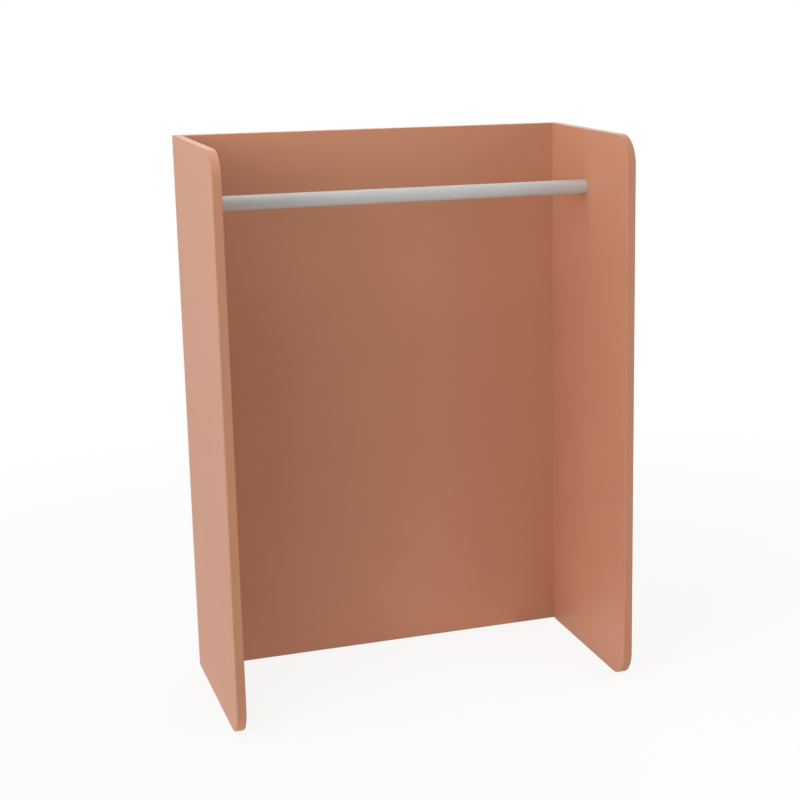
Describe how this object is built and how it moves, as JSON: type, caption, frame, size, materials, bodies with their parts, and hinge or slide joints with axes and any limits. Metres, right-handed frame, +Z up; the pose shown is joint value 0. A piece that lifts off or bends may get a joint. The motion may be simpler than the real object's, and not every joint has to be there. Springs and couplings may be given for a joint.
{
  "type": "coat rack",
  "caption": "Open free-standing coat rack: two side panels with rounded front corners, a full-height back panel and a round hanging rail across the top.",
  "frame": {"origin": "on the floor, in the middle of the footprint", "axes": "+Z up, +X to the right as seen from the front, +Y to the rear: the open front faces -Y"},
  "size_m": [0.8, 0.4, 1.088],
  "materials": {
    "melamine_board": "satin",
    "abs_edging": "satin",
    "lacquered_tube": "satin",
    "diecast_zinc": "matte",
    "zinc_plated_steel": "satin",
    "beech": "matte",
    "moulded_nylon": "satin"
  },
  "bodies": {
    "root": {"side_panel_left": "melamine_board", "side_panel_right": "melamine_board", "back_panel": "melamine_board", "front_edging_left": "abs_edging", "front_edging_right": "abs_edging", "rear_edging_left": "abs_edging", "rear_edging_right": "abs_edging", "back_edging_top": "abs_edging", "back_edging_bottom": "abs_edging", "hanging_rail": "lacquered_tube", "rail_plug_left": "moulded_nylon", "rail_plug_right": "moulded_nylon", "rail_plug_screw_left": "zinc_plated_steel", "rail_plug_screw_right": "zinc_plated_steel", "cam_left_bottom": "diecast_zinc", "cam_left_middle": "diecast_zinc", "cam_left_top": "diecast_zinc", "cam_right_bottom": "diecast_zinc", "cam_right_middle": "diecast_zinc", "cam_right_top": "diecast_zinc", "cam_bolt_left_bottom": "zinc_plated_steel", "cam_bolt_left_middle": "zinc_plated_steel", "cam_bolt_left_top": "zinc_plated_steel", "cam_bolt_right_bottom": "zinc_plated_steel", "cam_bolt_right_middle": "zinc_plated_steel", "cam_bolt_right_top": "zinc_plated_steel", "dowel_left_bottom": "beech", "dowel_left_middle": "beech", "dowel_left_top": "beech", "dowel_right_bottom": "beech", "dowel_right_middle": "beech", "dowel_right_top": "beech"}
  },
  "joints": []
}
